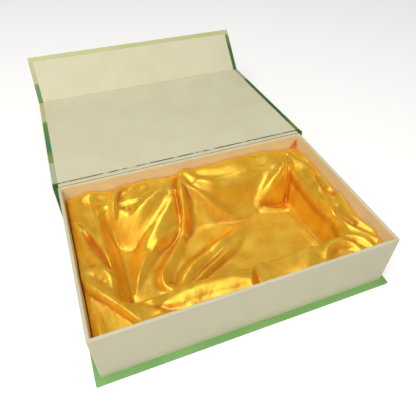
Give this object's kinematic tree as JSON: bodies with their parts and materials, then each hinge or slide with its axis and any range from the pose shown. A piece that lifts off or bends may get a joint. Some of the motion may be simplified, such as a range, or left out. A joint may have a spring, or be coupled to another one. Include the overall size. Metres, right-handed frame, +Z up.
{
  "type": "magnetic gift box",
  "caption": "Book-style rigid gift box: a satin-lined tray in a turned-in paper case, with a hinged lid and a folding front flap held by hidden magnets.",
  "frame": {"origin": "middle of the tray's footprint on the underside of the base", "axes": "+X along the long side, +Y from the front wall back to the spine and the open lid, +Z up"},
  "size_m": [0.31, 0.4541, 0.1055],
  "materials": {
    "printed_paper": "satin",
    "plain_paper": "matte",
    "greyboard": "matte",
    "gummed_tape": "matte",
    "foam": "matte",
    "satin": "satin",
    "plated_steel": "satin"
  },
  "bodies": {
    "tray": {"base_board": "greyboard", "base_wrap": "printed_paper", "spine_board": "greyboard", "spine_wrap": "printed_paper", "lid_hinge_paper": "printed_paper", "lid_hinge_liner": "plain_paper", "tray_front_wall": "greyboard", "tray_back_wall": "greyboard", "tray_left_wall": "greyboard", "tray_right_wall": "greyboard", "tray_floor": "greyboard", "keeper_left": "plated_steel", "keeper_right": "plated_steel", "corner_tape_front_left": "gummed_tape", "corner_tape_front_right": "gummed_tape", "corner_tape_back_left": "gummed_tape", "corner_tape_back_right": "gummed_tape", "tray_wrap": "plain_paper", "tray_lining": "plain_paper", "foam_frame": "foam", "foam_pad": "foam", "satin_lining": "satin"},
    "lid": {"lid_board": "greyboard", "lid_wrap": "printed_paper", "lid_liner": "plain_paper", "flap_hinge_paper": "printed_paper"},
    "flap": {"flap_board": "greyboard", "flap_wrap": "printed_paper", "flap_liner": "plain_paper", "flap_magnet_left": "plated_steel", "flap_magnet_right": "plated_steel"}
  },
  "joints": [
    {"name": "lid_hinge", "type": "hinge", "parent": "tray", "child": "lid", "pos_m": [0, 0.10175, 0.06755], "axis": [1, 0, 0], "range_deg": [0, 182.2]},
    {"name": "flap_hinge", "type": "hinge", "parent": "lid", "child": "flap", "pos_m": [0, 0.30487, 0.05624], "axis": [1, 0, 0], "range_deg": [-47.5, 42.5]}
  ]
}
